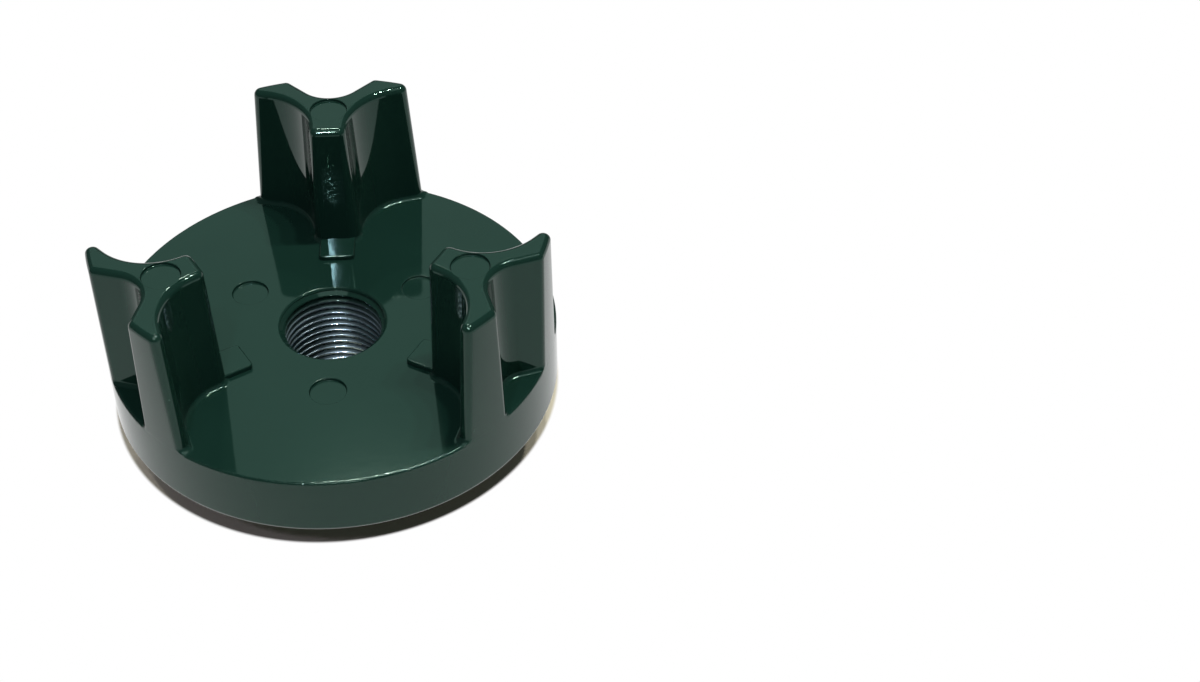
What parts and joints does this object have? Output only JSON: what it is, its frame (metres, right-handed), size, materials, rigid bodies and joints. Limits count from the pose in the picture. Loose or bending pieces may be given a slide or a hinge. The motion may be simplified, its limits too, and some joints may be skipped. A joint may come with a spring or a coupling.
{
  "type": "drive coupler",
  "caption": "Cast jaw coupling half: disc with Y-shaped drafted jaws, dished back and a threaded hub for a drive shaft.",
  "frame": {"origin": "centre of the hub's end face, where the bore's axis leaves it", "axes": "+Z along the bore's axis, from the hub towards the jaws; one jaw points along +Y"},
  "size_m": [0.085, 0.085, 0.0555],
  "materials": {
    "coated_casting": "glossy dark green coat over cast aluminium"
  },
  "bodies": {
    "root": {"coupler": "coated_casting"}
  },
  "joints": []
}
